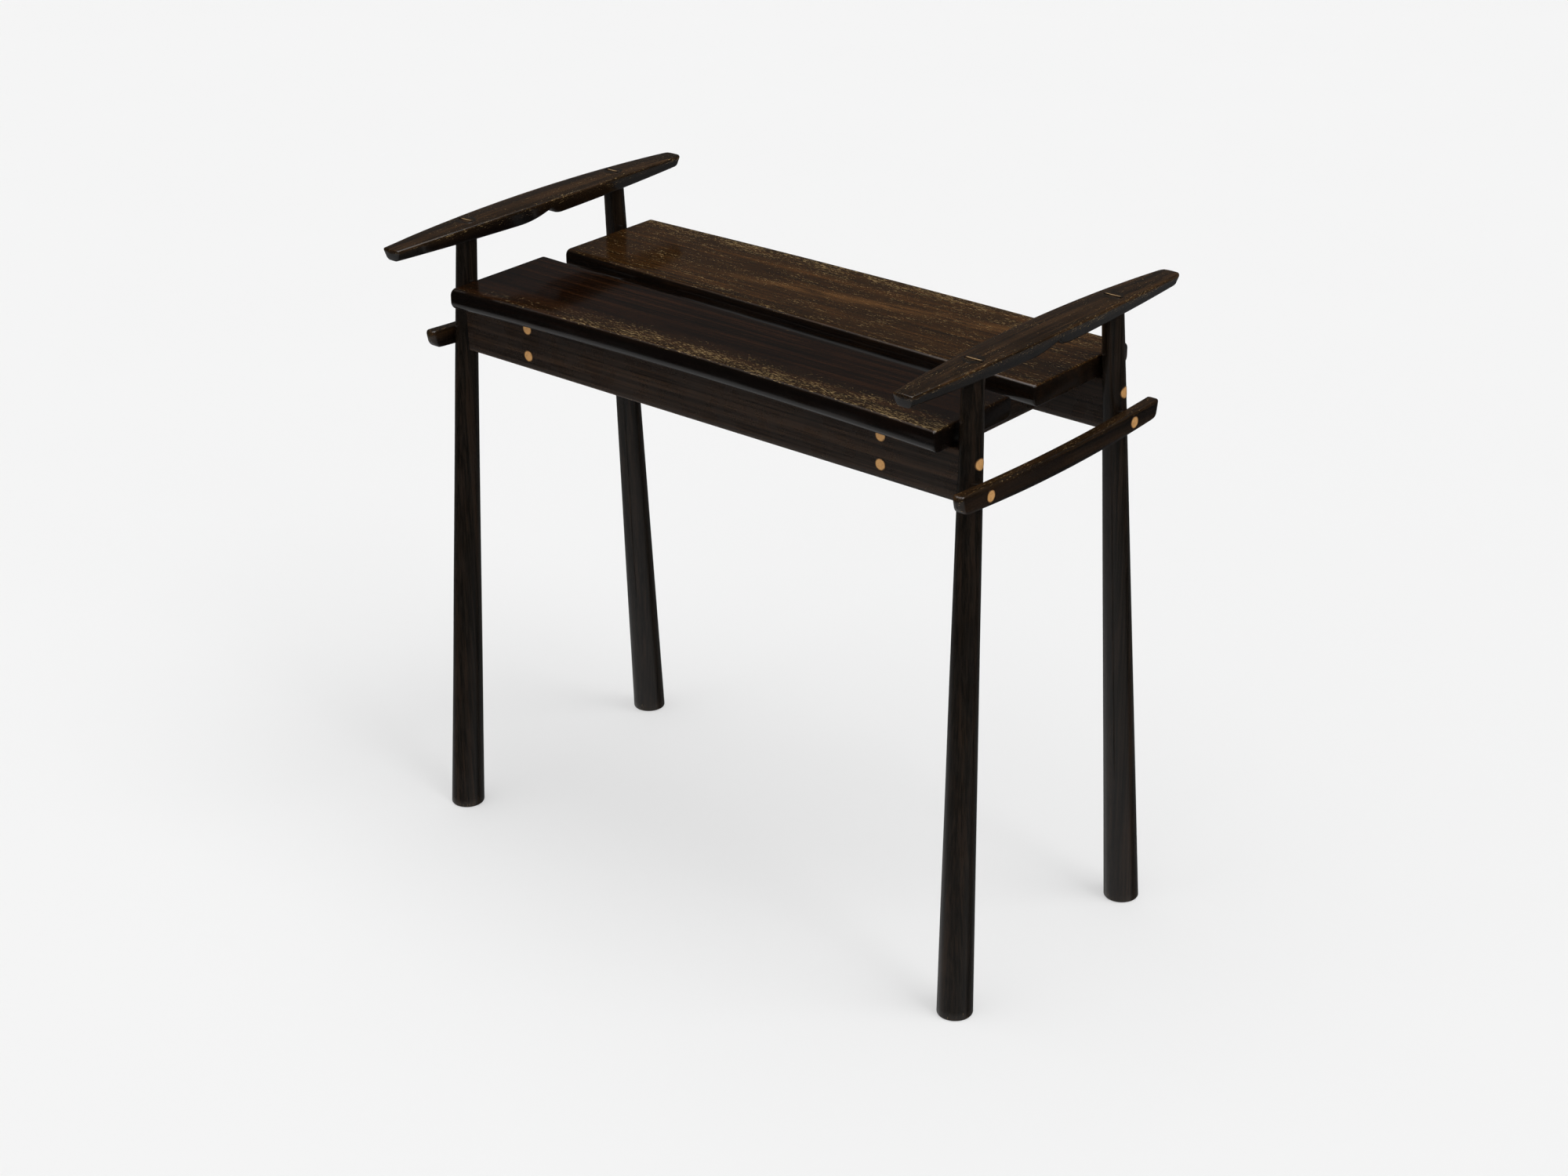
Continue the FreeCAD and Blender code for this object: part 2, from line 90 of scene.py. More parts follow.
def rounded_ring(points, radii, steps, fills):
    """A convex outline with rounded corners.  fills[i] points divide the side
    that follows corner i, so that every ring of a loft has the same count."""
    corners = []
    count = len(points)
    for i, point in enumerate(points):
        here = Vector(point)
        before = (Vector(points[i - 1]) - here).normalized()
        after = (Vector(points[(i + 1) % count]) - here).normalized()
        half = before.angle(after) / 2
        radius = max(radii[i], SMALLEST_RADIUS)
        start = here + before * radius / math.tan(half)
        centre = here + (before + after).normalized() * radius / math.sin(half)
        stop = here + after * radius / math.tan(half)
        turn = (start - centre).angle_signed(stop - centre)
        arm = start - centre
        arc = []
        for k in range(steps + 1):
            angle = -turn * k / steps
            arc.append(centre + Matrix.Rotation(angle, 2) @ arm)
        corners.append(arc)
    ring = []
    for i, arc in enumerate(corners):
        ring += arc
        following = corners[(i + 1) % count][0]
        for k in range(1, fills[i] + 1):
            ring.append(arc[-1].lerp(following, k / (fills[i] + 1)))
    return ring


def stations(low, high, spacing, ends):
    """Evenly spaced places between low and high, closer at the rounded ends."""
    inner = ends[-1]
    count = max(2, round((high - low - 2 * inner) / spacing))
    middle = [low + inner + (high - low - 2 * inner) * k / count for k in range(1, count)]
    return [low + e for e in ends] + middle + [high - e for e in reversed(ends)]


def outward(mesh):
    """Turns the faces out if the piece came out inside out."""
    volume = 0.0
    for face in mesh.polygons:
        a = mesh.vertices[face.vertices[0]].co
        for k in range(1, len(face.vertices) - 1):
            b = mesh.vertices[face.vertices[k]].co
            c = mesh.vertices[face.vertices[k + 1]].co
            volume += a.dot(b.cross(c))
    if volume < 0:
        mesh.flip_normals()


def loft(name, rings, material, node, wear, edge_shade=None):
    """Skins a closed piece over rings of points in millimetres.  wear says how
    rubbed a place is, edge_shade how far painted shade darkens it."""
    size = len(rings[0])
    vertices = [Vector(p) * MM for ring in rings for p in ring]
    faces = []
    for r in range(len(rings) - 1):
        for k in range(size):
            a, b = r * size + k, r * size + (k + 1) % size
            faces.append((a, b, b + size, a + size))
    for ring, flip in ((0, True), (len(rings) - 1, False)):
        centre = sum((vertices[ring * size + k] for k in range(size)), Vector()) / size
        vertices.append(centre)
        hub = len(vertices) - 1
        for k in range(size):
            a, b = ring * size + k, ring * size + (k + 1) % size
            faces.append((b, a, hub) if flip else (a, b, hub))
    mesh = bpy.data.meshes.new(name)
    mesh.from_pydata(vertices, [], faces)
    mesh.validate()
    for key, rule in (("wear", wear), ("edge_shade", edge_shade)):
        layer = mesh.attributes.new(key, "FLOAT", "POINT")
        for i, vertex in enumerate(mesh.vertices):
            layer.data[i].value = rule(vertex.co / MM) if rule else 0.0
    mesh.shade_smooth()
    mesh.set_sharp_from_angle(angle=SHARP_ANGLE)
    piece = bpy.data.objects.new(name, mesh)
    scene.collection.objects.link(piece)
    outward(mesh)
    mesh.materials.append(material)
    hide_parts(node)
    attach(piece, "root")


# ---------------------------------------------------------------- node helpers

class Graph:
    """A short way to write a material's nodes."""

    def __init__(self, name):
        self.material = bpy.data.materials.new(name)
        self.material.use_nodes = True
        self.tree = self.material.node_tree
        self.shader = self.tree.nodes["Principled BSDF"]
        self.objects = self.add("ShaderNodeTexCoord").outputs["Object"]

    def add(self, kind, **settings):
        node = self.tree.nodes.new(kind)
        for key, value in settings.items():
            setattr(node, key, value)
        return node

    def put(self, socket, value):
        if isinstance(value, bpy.types.NodeSocket):
            self.tree.links.new(value, socket)
        else:
            socket.default_value = value

    def math(self, operation, a, b=0.0, clamp=False):
        node = self.add("ShaderNodeMath", operation=operation, use_clamp=clamp)
        self.put(node.inputs[0], a)
        self.put(node.inputs[1], b)
        return node.outputs[0]

    def step(self, value, low, high, to_low=0.0, to_high=1.0):
        node = self.add("ShaderNodeMapRange", interpolation_type="SMOOTHSTEP")
        self.put(node.inputs["Value"], value)
        for key, number in (("From Min", low), ("From Max", high),
                            ("To Min", to_low), ("To Max", to_high)):
            self.put(node.inputs[key], number)
        return node.outputs["Result"]

    def mix(self, amount, a, b):
        node = self.add("ShaderNodeMix", data_type="RGBA")
        self.put(node.inputs["Factor"], amount)
        self.put(node.inputs["A"], a)
        self.put(node.inputs["B"], b)
        return node.outputs["Result"]

    def mapped(self, scale, place=(0, 0, 0), turn=(0, 0, 0)):
        node = self.add("ShaderNodeMapping")
        self.put(node.inputs["Vector"], self.objects)
        self.put(node.inputs["Location"], place)
        self.put(node.inputs["Rotation"], turn)
        self.put(node.inputs["Scale"], scale)
        return node.outputs["Vector"]

    def noise(self, vector, scale, detail=4.0, rough=0.55, bend=0.0):
        node = self.add("ShaderNodeTexNoise")
        self.put(node.inputs["Vector"], vector)
        self.put(node.inputs["Scale"], scale)
        self.put(node.inputs["Detail"], detail)
        self.put(node.inputs["Roughness"], rough)
        self.put(node.inputs["Distortion"], bend)
        return node.outputs["Fac"]

    def attribute(self, name):
        return self.add("ShaderNodeAttribute", attribute_name=name).outputs["Fac"]

    def bump(self, height, strength, distance, after=None):
        node = self.add("ShaderNodeBump")
        self.put(node.inputs["Strength"], strength)
        self.put(node.inputs["Distance"], distance)
        self.put(node.inputs["Height"], height)
        if after is not None:
            self.put(node.inputs["Normal"], after)
        return node.outputs["Normal"]


def colour(red, green, blue):
    """A shade written as it looks on a screen, 0 to 255."""
    def linear(value):
        value /= 255
        return value / 12.92 if value <= 0.04045 else ((value + 0.055) / 1.055) ** 2.4
    return (linear(red), linear(green), linear(blue), 1.0)


# Each wood's black, brown and reddish shades.
SEAT_FRONT = (colour(11, 5, 2), colour(30, 15, 7), colour(52, 29, 13))
SEAT_BACK = (colour(20, 11, 5), colour(60, 37, 14), colour(88, 55, 23))
FRAME = (colour(26, 19, 14), colour(46, 35, 27), colour(60, 43, 30))
LEG = (colour(16, 13, 10), colour(31, 25, 20), colour(43, 32, 24))
RAIL = (colour(15, 9, 5), colour(44, 30, 17), colour(72, 49, 27))
# Painted shade for the sides and edges below the tops, rubbed and bare wood, and the light wood
# of pegs and wedges.
EDGE_SHADE = colour(10, 8, 7)
RUBBED = colour(66, 48, 27)
BARE = colour(150, 124, 80)
STREAK = colour(124, 84, 44)
PEG_CORE = colour(214, 162, 98)
PEG_RIM = colour(150, 100, 46)
GLUE = colour(70, 44, 18)
WEDGE_PALE = colour(196, 166, 122)
WEDGE_TAN = colour(150, 112, 72)
WEDGE_DARK = colour(30, 20, 13)
WHITE = (1, 1, 1, 1)
BLACK = (0, 0, 0, 1)


# ---------------------------------------------------------------- materials

ALONG = {"X": (1, 0, 0), "Y": (0, 1, 0), "Z": (0, 0, 1)}
# Where the flecks begin in their noise, how far wear lowers that, and how they gather.
FLECK_LEVEL, FLECK_GAIN, FLECK_CLUMPING = 0.67, 0.14, 0.3
PEG_RADIUS = 4.4 * MM
RING_OFFSET = 1.5 * MM


def lacquered(name, axis, seed, tones, turn=(0, 0, 0), gold=1.0, gloss=0.22,
              stain=None):
    """Dark lacquered wood.  The grain runs along axis, turned by the lean of a
    leg; gold is how strongly worn places shine through; seed moves the pattern."""
    g = Graph(name)
    run = ALONG[axis]
    place = (seed * 1.37, seed * 2.11, seed * 0.73)

    def stretched(across, along):
        return g.mapped([along if r else across for r in run], place, turn)

    black, brown, warm = tones
    streaks = g.noise(stretched(650, 4), 1.0, 6, 0.75, 0.1)
    bands = g.noise(stretched(170, 2), 1.0, 5, 0.65, 0.2)
    hairs = g.noise(stretched(1000, 9), 1.0, 4, 0.7)
    mottle = g.noise(g.mapped((17, 17, 17), place), 1.0, 3, 0.5)
    shade = g.mix(g.step(streaks, 0.42, 0.58), black, brown)
    shade = g.mix(g.math("MULTIPLY", g.step(bands, 0.5, 0.62), 0.75), shade, warm)
    shade = g.mix(g.math("MULTIPLY", g.step(hairs, 0.52, 0.62), 0.7), shade, black)
    shade = g.mix(g.math("MULTIPLY", g.step(hairs, 0.47, 0.37), 0.6), shade, warm)
    shade = g.mix(g.math("MULTIPLY", g.step(mottle, 0.48, 0.72), 0.4), shade, black)
    # Painted shade: below the top, the sides, edges and underside are darkened towards near
    # black.
    edge_shade = g.attribute("edge_shade")
    shade = g.mix(g.math("MULTIPLY", edge_shade, 0.88), shade, EDGE_SHADE)
    # Rubbed places: short dashes of bare golden wood, denser where wear is high.
    wear = g.attribute("wear")
    dashes = g.noise(stretched(1300, 250), 1.0, 4, 0.75)
    clumps = g.noise(stretched(120, 28), 1.0, 3, 0.6)
    gathered = g.math("MULTIPLY", g.math("SUBTRACT", clumps, 0.5), FLECK_CLUMPING)
    level = g.math("SUBTRACT", FLECK_LEVEL, g.math("MULTIPLY", wear, FLECK_GAIN * gold))
    level = g.math("SUBTRACT", level, gathered)
    fleck = g.step(g.math("SUBTRACT", dashes, level), 0.0, 0.07)
    fleck = g.math("MULTIPLY", fleck, g.step(wear, 0.0, 0.15))
    shade = g.mix(g.math("MULTIPLY", wear, 0.22), shade, RUBBED)
    shade = g.mix(g.math("MULTIPLY", fleck, 0.85), shade, BARE)
    if stain:
        shade = stain(g, shade)
    g.put(g.shader.inputs["Base Color"], shade)
    dull = g.noise(g.mapped((60, 60, 60), place), 1.0, 4, 0.6)
    rough = g.step(dull, 0.3, 0.7, gloss * 0.8, gloss * 1.35)
    rough = g.math("ADD", rough, g.math("MULTIPLY", fleck, 0.2), True)
    g.put(g.shader.inputs["Roughness"], rough)
    g.put(g.shader.inputs["IOR"], 1.5)
    g.put(g.shader.inputs["Coat Weight"], 0.3)
    g.put(g.shader.inputs["Coat Roughness"], 0.06)
    coarse = g.bump(bands, 0.12, 0.0006)
    g.put(g.shader.inputs["Normal"], g.bump(streaks, 0.07, 0.00025, coarse))
    return g.material


def end_grain(name, centre, axis, seed):
    """The head of a peg along axis: pale rings, a darker rim and a glue line round it."""
    g = Graph(name)
    flat = [0 if r else 1 for r in ALONG[axis]]
    moved = g.mapped(flat, [-c * f for c, f in zip(centre, flat)])
    length = g.add("ShaderNodeVectorMath", operation="LENGTH")
    g.put(length.inputs[0], moved)
    reach = g.math("DIVIDE", length.outputs["Value"], PEG_RADIUS)
    wobble = g.noise(g.mapped((420, 420, 420), (seed, seed, seed)), 1.0, 3, 0.6)
    rings = g.add("ShaderNodeTexWave", wave_type="RINGS", rings_direction="SPHERICAL")
    aside = [(-c + RING_OFFSET) * f for c, f in zip(centre, flat)]
    g.put(rings.inputs["Vector"], g.mapped(flat, aside))
    g.put(rings.inputs["Scale"], 260.0)
    g.put(rings.inputs["Distortion"], 2.5)
    shade = g.mix(g.math("MULTIPLY", rings.outputs["Fac"], 0.35), PEG_CORE, PEG_RIM)
    shade = g.mix(g.step(wobble, 0.45, 0.75, 0.0, 0.45), shade, PEG_RIM)
    ragged = g.math("ADD", reach, g.math("MULTIPLY", wobble, 0.12))
    shade = g.mix(g.step(ragged, 0.8, 1.02), shade, GLUE)
    g.put(g.shader.inputs["Base Color"], shade)
    g.put(g.shader.inputs["Roughness"], g.step(wobble, 0.3, 0.7, 0.3, 0.45))
    g.put(g.shader.inputs["Coat Weight"], 0.2)
    g.put(g.shader.inputs["Normal"], g.bump(wobble, 0.3, 0.0003))
    return g.material


def wedge_line(name, centre, reach, seed):
    """The edge of a wedge: pale for reach millimetres each way from its middle,
    its ends under dark lacquer."""
    g = Graph(name)
    parts = g.add("ShaderNodeSeparateXYZ")
    g.put(parts.inputs[0], g.objects)
    along = g.math("SUBTRACT", parts.outputs["X"], centre.x)
    across = g.math("SUBTRACT", parts.outputs["Y"], centre.y)
    grain = g.noise(g.mapped((900, 3000, 900), (seed, seed, seed)), 1.0, 3, 0.6)
    # The line sags a little and thins out towards its ends.
    sag = g.math("MULTIPLY", g.math("MULTIPLY", along, along), 9.0)
    off = g.math("ABSOLUTE", g.math("ADD", g.math("SUBTRACT", across, sag), 0.2 * MM))
    inside = g.step(off, 0.35 * MM, 0.6 * MM, 1.0, 0.0)
    shown = g.step(g.math("ABSOLUTE", along), (reach - 1.8) * MM, reach * MM, 1.0, 0.0)
    pale = g.mix(g.step(grain, 0.4, 0.65), WEDGE_PALE, WEDGE_TAN)
    shade = g.mix(g.math("MULTIPLY", inside, shown), WEDGE_DARK, pale)
    g.put(g.shader.inputs["Base Color"], shade)
    g.put(g.shader.inputs["Roughness"], g.step(grain, 0.3, 0.7, 0.3, 0.42))
    g.put(g.shader.inputs["Normal"], g.bump(grain, 0.15, 0.0002))
    return g.material


def paint(name, material):
    """A CAD piece keeps its shape and takes a finish."""
    for slot in frame["nodes"][name].material_slots:
        slot.material = material


# ---------------------------------------------------------------- sides

HANDS = (("left", -1), ("right", 1))
ROWS = (("front", -1), ("back", 1))


# ---------------------------------------------------------------- seat planks

THICK = 16.0
TOP_ROUND = 4.8
UNDER_ROUND = 6.2
END_ROUND = 1.3
SEAT_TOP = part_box("seat_plank_front")[1][2] / MM
SEAT_UNDER = SEAT_TOP - THICK
PLANK_ENDS = [0, 0.1, 0.35, 0.75, END_ROUND, 2.2]
# The planks' tops have settled a little; below this height they haven't.
SETTLED_ABOVE = 420.0


def plank(row, outer, inner, wear, seed, tones, stain=None):
    """outer and inner give the long edges' Y at any X, for this row."""
    low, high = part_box("seat_plank_" + row)
    x0, x1 = low[0] / MM, high[0] / MM
    rings = []
    for x in stations(x0, x1, 3.5, PLANK_ENDS):
        inset = rounding(min(x - x0, x1 - x), END_ROUND)
        y0, y1 = sorted((outer(x), inner(x)))
        top, under = SEAT_TOP - inset, SEAT_UNDER + inset
        ring = rounded_ring(
            [(y0 + inset, under), (y0 + inset, top), (y1 - inset, top), (y1 - inset, under)],
            [UNDER_ROUND - inset, TOP_ROUND - inset, TOP_ROUND - inset, UNDER_ROUND - inset],
            8, [3, 22, 3, 12])
        points = []
        for y, z in ring:
            dent = 0.16 * (noise.noise(Vector((x / 30 + seed, y / 17, z / 9))) + 0.6)
            slack = 0.1 * (noise.noise(Vector((x / 70, y / 40, seed))) + 0.5)
            off_middle = y - (y0 + y1) / 2
            at_edge = smooth(0, 8, abs(off_middle) - (y1 - y0) / 2 + 8)
            inward = math.copysign(1, off_middle) * dent * at_edge
            points.append((x, y - inward, z - max(0.0, slack) * (z > SETTLED_ABOVE)))
        rings.append(points)
    material = lacquered("lacquer_plank_" + row, "X", seed, tones, gloss=0.1, stain=stain)

    # Painted shade: the edges, ends and underside below the top arris are darkened.
    def edge_shade(p):
        return smooth(0.3, 1.5, SEAT_TOP - p.z)

    loft("plank_" + row, rings, material, "seat_plank_" + row, wear, edge_shade)


HALF_SEAT = 221.5
SEAT_LENGTH = 443.0
FRONT_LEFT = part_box("seat_plank_front")[0][0] / MM
BACK_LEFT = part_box("seat_plank_back")[0][0] / MM
EDGE_FRONT = -104.5
EDGE_FRONT_MIDDLE = -97.5
EDGE_BACK = 109.5
EDGE_BACK_MIDDLE = 112.9
# Where the slot's sides start at the left, and how far they drift over the length.
SLOT_FRONT_LEFT, SLOT_FRONT_DRIFT = -5.5, -15.3
SLOT_BACK_LEFT, SLOT_BACK_DRIFT = 12.1, -12.0


def front_edge(x):
    return bow(x, HALF_SEAT, EDGE_FRONT_MIDDLE, EDGE_FRONT)


def back_edge(x):
    return bow(x, HALF_SEAT, EDGE_BACK_MIDDLE, EDGE_BACK)


def slot_front(x):
    return SLOT_FRONT_LEFT + SLOT_FRONT_DRIFT * (x - FRONT_LEFT) / SEAT_LENGTH


def slot_back(x):
    return SLOT_BACK_LEFT + SLOT_BACK_DRIFT * (x - BACK_LEFT) / SEAT_LENGTH


def on_top(p):
    return smooth(1.8, 0.4, SEAT_TOP - p.z)


def front_wear(p):
    """Rubbed along the front edge, most towards the right, and on the arrises."""
    along_edge = smooth(34, 8, p.y - front_edge(p.x)) * (0.35 + 0.65 * smooth(-190, -40, p.x))
    at_slot = 0.35 * smooth(7, 1, slot_front(p.x) - p.y)
    at_end = 0.6 * smooth(14, 3, HALF_SEAT - p.x)
    return max(along_edge, at_slot, at_end) * on_top(p)


def back_wear(p):
    """Rubbed all over, most along the back edge, and on the arrises."""
    along_edge = 0.5 + 0.5 * smooth(32, 6, back_edge(p.x) - p.y)
    at_slot = 0.6 * smooth(6, 1, p.y - slot_back(p.x))
    at_end = 0.6 * smooth(14, 3, HALF_SEAT + 1.5 - p.x)
    return max(along_edge, at_slot, at_end) * on_top(p)


STREAK_SLOPE, STREAK_MIDDLE = 0.131, 56.5 * MM


def back_stain(g, shade):
    """A warm streak runs askew along the back plank."""
    parts = g.add("ShaderNodeSeparateXYZ")
    g.put(parts.inputs[0], g.objects)
    line = g.math("ADD", g.math("MULTIPLY", parts.outputs["X"], STREAK_SLOPE), STREAK_MIDDLE)
    away = g.math("ABSOLUTE", g.math("SUBTRACT", parts.outputs["Y"], line))
    ragged = g.noise(g.mapped((14, 160, 40)), 1.0, 5, 0.7)
    away = g.math("ADD", away, g.math("MULTIPLY", g.math("SUBTRACT", ragged, 0.5), 0.03))
    near = g.step(away, 1 * MM, 11 * MM, 0.6, 0.0)
    near = g.math("MULTIPLY", near, g.step(ragged, 0.35, 0.6))
    near = g.math("MULTIPLY", near, g.step(parts.outputs["X"], -0.15, 0.0))
    return g.mix(near, shade, STREAK)


plank("front", front_edge, slot_front, front_wear, 1.0, SEAT_FRONT)
plank("back", back_edge, slot_back, back_wear, 2.0, SEAT_BACK, back_stain)


# ---------------------------------------------------------------- sizes of the handrails

RAIL_X = {-1: -230.0, 1: 229.0}
RAIL_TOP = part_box("handrail_right")[1][2] / MM
RAIL_SHIFT = 2.0
RAIL_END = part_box("handrail_right")[1][1] / MM - RAIL_SHIFT
RAIL_HALF, RAIL_WIDE, RAIL_NARROW = 151.0, 15.5, 9.6
RAIL_DRAFT = math.tan(math.radians(20))
# The crown: its roundness across, and how far it has dropped this far from the middle.
CROWN_RADIUS = 90.0
CROWN_HALF, CROWN_DROP = 154.0, -3.7
# The underside, from the crown's top: the lobes, the notch, and two further places.
LOBE, NOTCH_RISE, LONG_CURVE, SHORT_CURVE = -15.4, 6.0, 28.0, 14.0
UNDER_VIA, UNDER_END = (90.6, -14.0), (155.0, -12.4)


def rail_under(y):
    """The underside below the crown: two lobes that meet in a pointed notch,
    the front one rising slowly to it and the back one quickly."""
    reach = LONG_CURVE if y < 0 else SHORT_CURVE
    y = abs(y)
    if y < reach:
        radius = (reach ** 2 + NOTCH_RISE ** 2) / 2 / NOTCH_RISE
        return LOBE + radius - math.sqrt(radius ** 2 - (reach - y) ** 2)
    # A parabola from the lobe through the two further places.
    (a, p), (b, q), (c, r) = (reach, LOBE), UNDER_VIA, UNDER_END
    return (p * (y - b) * (y - c) / (a - b) / (a - c) + q * (y - a) * (y - c) / (b - a) / (b - c)
            + r * (y - a) * (y - b) / (c - a) / (c - b))


def rail_surface(x, y):
    """Height of the handrail's crown, x and y from its middle."""
    return RAIL_TOP + bow(y, CROWN_HALF, 0, CROWN_DROP) - x * x / (2 * CROWN_RADIUS)


# ---------------------------------------------------------------- legs

FOOT_X = 240.0
FOOT_Y = {-1: 105.0, 1: 101.0}
CROWN_Y = 76.8
LEG_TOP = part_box("leg_front_right")[1][2] / MM
LEAN_X = 9.6 / LEG_TOP
FOOT_RADIUS, TIP_RADIUS = 12.8, 7.5
# The foot's worn edge: height, and how much smaller the radius is there.
FOOT_EDGE = {0: 1.6, 0.15: 1.0, 0.5: 0.45, 1.0: 0.12, 1.6: 0}
FOOT_EDGE_TOP = max(FOOT_EDGE)
TIP_EDGE = 0.6
LEG_SIDES, LEG_RINGS = 64, 90


def leg(row, hand, depth, side, seed):
    """A hand-shaved round leg that tapers to its tip and ends flush in the rail."""
    lean_y = (FOOT_Y[side] - CROWN_Y) / LEG_TOP
    shaft = LEG_TOP - FOOT_EDGE_TOP - TIP_EDGE
    heights = list(FOOT_EDGE)
    heights += [FOOT_EDGE_TOP + shaft * k / LEG_RINGS for k in range(1, LEG_RINGS + 1)]
    heights += [LEG_TOP - TIP_EDGE / 2, LEG_TOP]
    rings = []
    for z in heights:
        radius = FOOT_RADIUS - (FOOT_RADIUS - TIP_RADIUS) * z / LEG_TOP
        if z in FOOT_EDGE:
            radius = FOOT_RADIUS - FOOT_EDGE[z]
        radius -= rounding(LEG_TOP - z, TIP_EDGE)
        centre_x = side * (FOOT_X - LEAN_X * z)
        centre_y = depth * (FOOT_Y[side] - lean_y * z)
        ring = []
        for k in range(LEG_SIDES):
            angle = math.tau * k / LEG_SIDES
            spin = Vector((math.cos(angle) * 1.1, math.sin(angle) * 1.1, z / 120 + seed))
            shaved = 0.14 * (noise.noise(spin) + 0.5) * smooth(0, 30, LEG_TOP - 80 - z)
            reach = radius - max(0.0, shaved)
            x = centre_x + reach * math.cos(angle)
            y = centre_y + reach * math.sin(angle)
            flush = rail_surface(x - RAIL_X[side], y - side * RAIL_SHIFT) + 0.06
            ring.append((x, y, min(z, flush) if z > LEG_TOP - 1 else z))
        rings.append(ring)
    lean = (depth * math.atan(lean_y), -side * math.atan(LEAN_X), 0)
    material = lacquered("lacquer_leg_%s_%s" % (row, hand), "Z", seed, LEG,
                         turn=lean, gold=0.6, gloss=0.17)

    def wear(p):
        return 0.55 * smooth(9, 1, p.z) + 0.3 * smooth(1.5, 0.2, LEG_TOP - p.z)

    loft("leg_%s_%s_round" % (row, hand), rings, material,
         "leg_%s_%s" % (row, hand), wear)


for row, depth in ROWS:
    for hand, side in HANDS:
        leg(row, hand, depth, side, 3.0 + depth + 0.5 * side)


# ---------------------------------------------------------------- handrails

RAIL_ENDS = [0, 0.15, 0.5, 1.1, 2.0, 3.2, 4.8, 7]
# How the tips are rounded above, below and at the sides: sawn in front, a nose behind.
SAWN_TIP = (0.6, 0.6, 0.6)
NOSE_TIP = (3.6, 4.6, 7.0)
# How deep below the crown a rail is rubbed.
RUBBED_DEPTH = 7


def handrail(hand, side, seed):
    """A boat-shaped rail with a notched underside, its sides drawn in below."""
    half = RAIL_END
    rings = []
    for y in stations(-half, half, 2.5, RAIL_ENDS):
        gone = half - abs(y)
        above, below, beside = (rounding(gone, tip) for tip in (SAWN_TIP if y < 0 else NOSE_TIP))
        crown = bow(y, CROWN_HALF, 0, CROWN_DROP) - above
        under = rail_under(y) + below
        wide = bow(y, RAIL_HALF, RAIL_WIDE, RAIL_NARROW)
        top_wide = wide - beside + RAIL_DRAFT * crown
        under_wide = wide - beside + RAIL_DRAFT * under
        soft = min(1.5, (crown - under) * 0.2)
        belly = min(3.6, (crown - under) * 0.45, under_wide * 0.8)
        ring = rounded_ring(
            [(-under_wide, under), (-top_wide, crown), (top_wide, crown), (under_wide, under)],
            [belly, soft, soft, belly], 7, [4, 11, 4, 5])
        points = []
        for x, z in ring:
            up = (z - under) / (crown - under)
            drop = x * x / (2 * CROWN_RADIUS) * smooth(0.35, 1.0, up)
            back_in = (1 - up) * smooth(9, 0, gone) * 1.2 * math.copysign(1, y)
            dent = 0.1 * max(0.0, noise.noise(Vector((x / 8, y / 22, z / 8 + seed))))
            points.append((RAIL_X[side] + x * (1 - dent / 12),
                           side * RAIL_SHIFT + y - back_in, RAIL_TOP + z - drop - dent * up))
        rings.append(points)
    material = lacquered("lacquer_rail_" + hand, "Y", seed, RAIL, gold=0.8, gloss=0.2)

    def wear(p):
        y = p.y - side * RAIL_SHIFT
        across = abs(p.x - RAIL_X[side]) - bow(y, RAIL_HALF, RAIL_WIDE, RAIL_NARROW)
        rubbed = 0.3 + 0.35 * smooth(-6, -1, across)
        at_tip = 0.5 * smooth(3, 0.3, RAIL_END - abs(y))
        return max(rubbed, at_tip) * (p.z > RAIL_TOP - RUBBED_DEPTH)

    # Painted shade: the sides and underside below the crown are darkened.
    def edge_shade(p):
        crown = rail_surface(p.x - RAIL_X[side], p.y - side * RAIL_SHIFT)
        return smooth(0.9, 2.6, crown - p.z)

    loft("handrail_%s_shaped" % hand, rings, material, "handrail_" + hand,
         wear, edge_shade)


for hand, side in HANDS:
    handrail(hand, side, 11.0 + side)


# ---------------------------------------------------------------- stretchers

STRETCHER_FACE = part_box("stretcher_right")[1][0] / MM
STRETCHER_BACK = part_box("stretcher_right")[0][0] / MM
STRETCHER_ENDS = [0, 0.3, 0.9, 1.8, 3, 4.5, 7]
# Heights of the upper and lower edge in the middle and at the tips.
STRETCHER_TOP = (389.6, 393.0)
STRETCHER_UNDER = (374.8, 379.6)
# The upper half has small dents.
DENTED_ABOVE = 385


